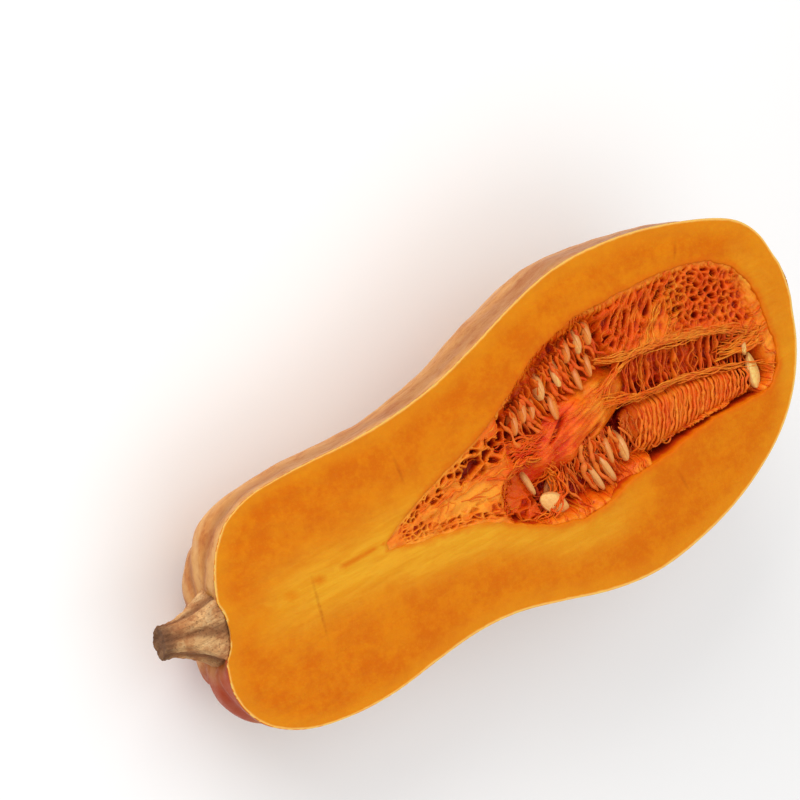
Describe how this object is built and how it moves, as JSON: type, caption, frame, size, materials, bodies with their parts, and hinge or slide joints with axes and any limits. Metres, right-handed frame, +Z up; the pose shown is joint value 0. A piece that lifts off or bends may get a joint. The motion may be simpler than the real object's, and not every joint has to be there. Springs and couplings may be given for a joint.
{
  "type": "halved long-necked pumpkin",
  "caption": "Half of a long-necked pumpkin cut lengthwise, resting on its ribbed rind with its stem whole, the open seed cavity holding fibrous pulp and flat seeds.",
  "frame": {"origin": "middle of the base of the overall box, on the surface that the half rests on", "axes": "+X along the length from the stem to the blossom end, +Y across the cut face, +Z up; the cut face faces up and tips 7 degrees towards the stem"},
  "size_m": [0.306, 0.129, 0.0859],
  "materials": {
    "flesh": "moist, semi-gloss orange cut flesh with a thin, cream to red-brown waxy rind",
    "stem": "dry, corky and ridged, matt",
    "pulp": "wet, stringy, glossy fibres",
    "seed": "cream seed coat under a thin moist film"
  },
  "bodies": {
    "root": {"flesh_and_rind": "flesh", "stem": "stem", "pulp_bed": "pulp", "pulp_neck_web": "pulp", "pulp_core": "pulp", "pulp_upper_lobe": "pulp", "pulp_lower_lobe": "pulp", "seed_01": "seed", "seed_02": "seed", "seed_03": "seed", "seed_04": "seed", "seed_05": "seed", "seed_06": "seed", "seed_07": "seed", "seed_08": "seed", "seed_09": "seed", "seed_10": "seed", "seed_11": "seed", "seed_12": "seed", "seed_13": "seed", "seed_14": "seed", "seed_15": "seed", "seed_16": "seed", "seed_17": "seed", "seed_18": "seed", "seed_19": "seed", "seed_20": "seed"}
  },
  "joints": []
}
